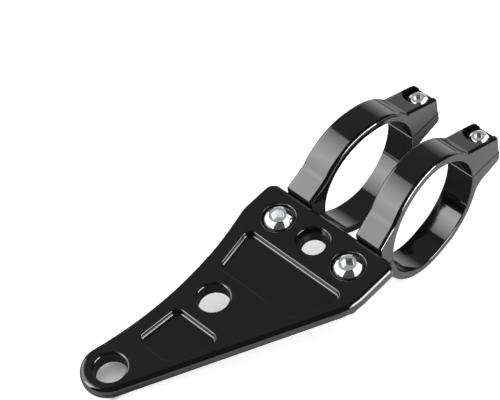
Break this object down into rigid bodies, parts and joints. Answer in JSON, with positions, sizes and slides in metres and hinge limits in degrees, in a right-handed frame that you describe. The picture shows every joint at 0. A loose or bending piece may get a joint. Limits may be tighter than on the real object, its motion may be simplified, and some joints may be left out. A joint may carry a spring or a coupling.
{
  "type": "headlight mounting bracket",
  "caption": "Gloss black arm plate with lightening pockets, bolted to a pair of split clamps that grip a fork tube and carry a headlight or signal lamp at the arm's holes.",
  "frame": {"origin": "on the fork tube's axis, midway between the two clamp rings", "axes": "+X along the arm to its tip, +Y along the tube towards the straight-sided edge of the arm, +Z out of the plate's pocketed face"},
  "size_m": [0.1554, 0.0544, 0.0472],
  "materials": {
    "black_plate": "gloss black coating",
    "black_clamp": "gloss black coating",
    "chrome_screw": "bright chrome plate"
  },
  "bodies": {
    "root": {"arm_plate": "black_plate", "lower_clamp_near": "black_clamp", "lower_clamp_far": "black_clamp", "upper_clamp_near": "black_clamp", "upper_clamp_far": "black_clamp", "plate_screw_near": "chrome_screw", "plate_screw_far": "chrome_screw", "pinch_screw_near": "chrome_screw", "pinch_screw_far": "chrome_screw"}
  },
  "joints": []
}
